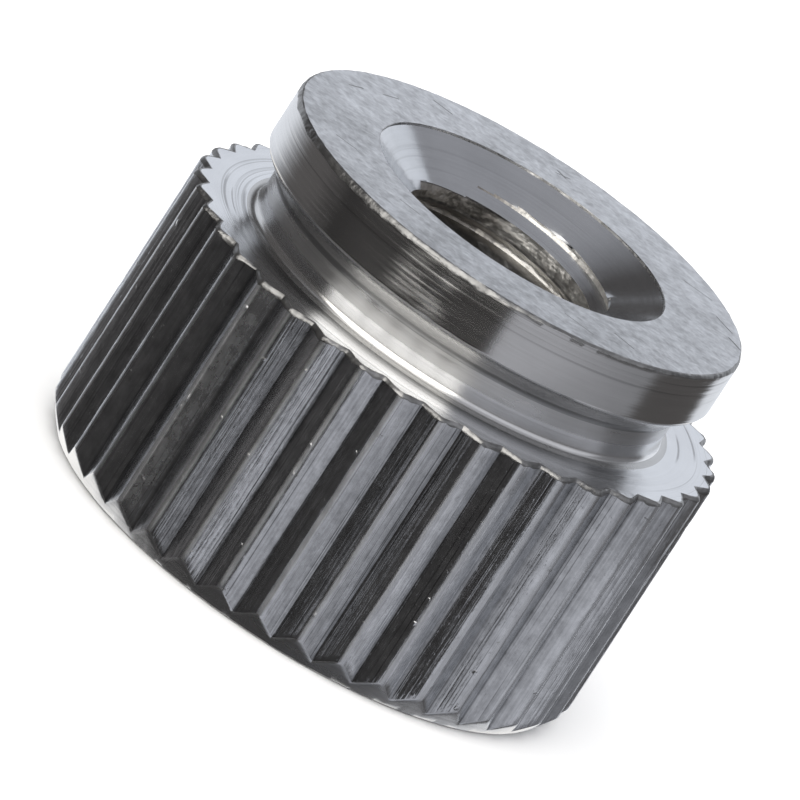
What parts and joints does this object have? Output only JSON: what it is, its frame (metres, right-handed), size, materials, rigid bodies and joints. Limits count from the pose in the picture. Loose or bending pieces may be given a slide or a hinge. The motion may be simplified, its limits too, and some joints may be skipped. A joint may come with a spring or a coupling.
{
  "type": "knurled thumb nut",
  "caption": "Round steel thumb nut with a straight-knurled grip, a relief groove and a plain collar with a countersunk threaded through hole.",
  "frame": {"origin": "centre of the bottom face, on the thread axis", "axes": "+Z along the thread axis, from the knurled grip up to the countersunk collar; -Y is the side that is seen"},
  "size_m": [0.0116, 0.0116, 0.0082],
  "materials": {
    "bright_steel": "bright machined steel: satin faced top, fine turning lines, lengthwise drawn knurl flanks"
  },
  "bodies": {
    "root": {"thumb_nut": "bright_steel"}
  },
  "joints": []
}
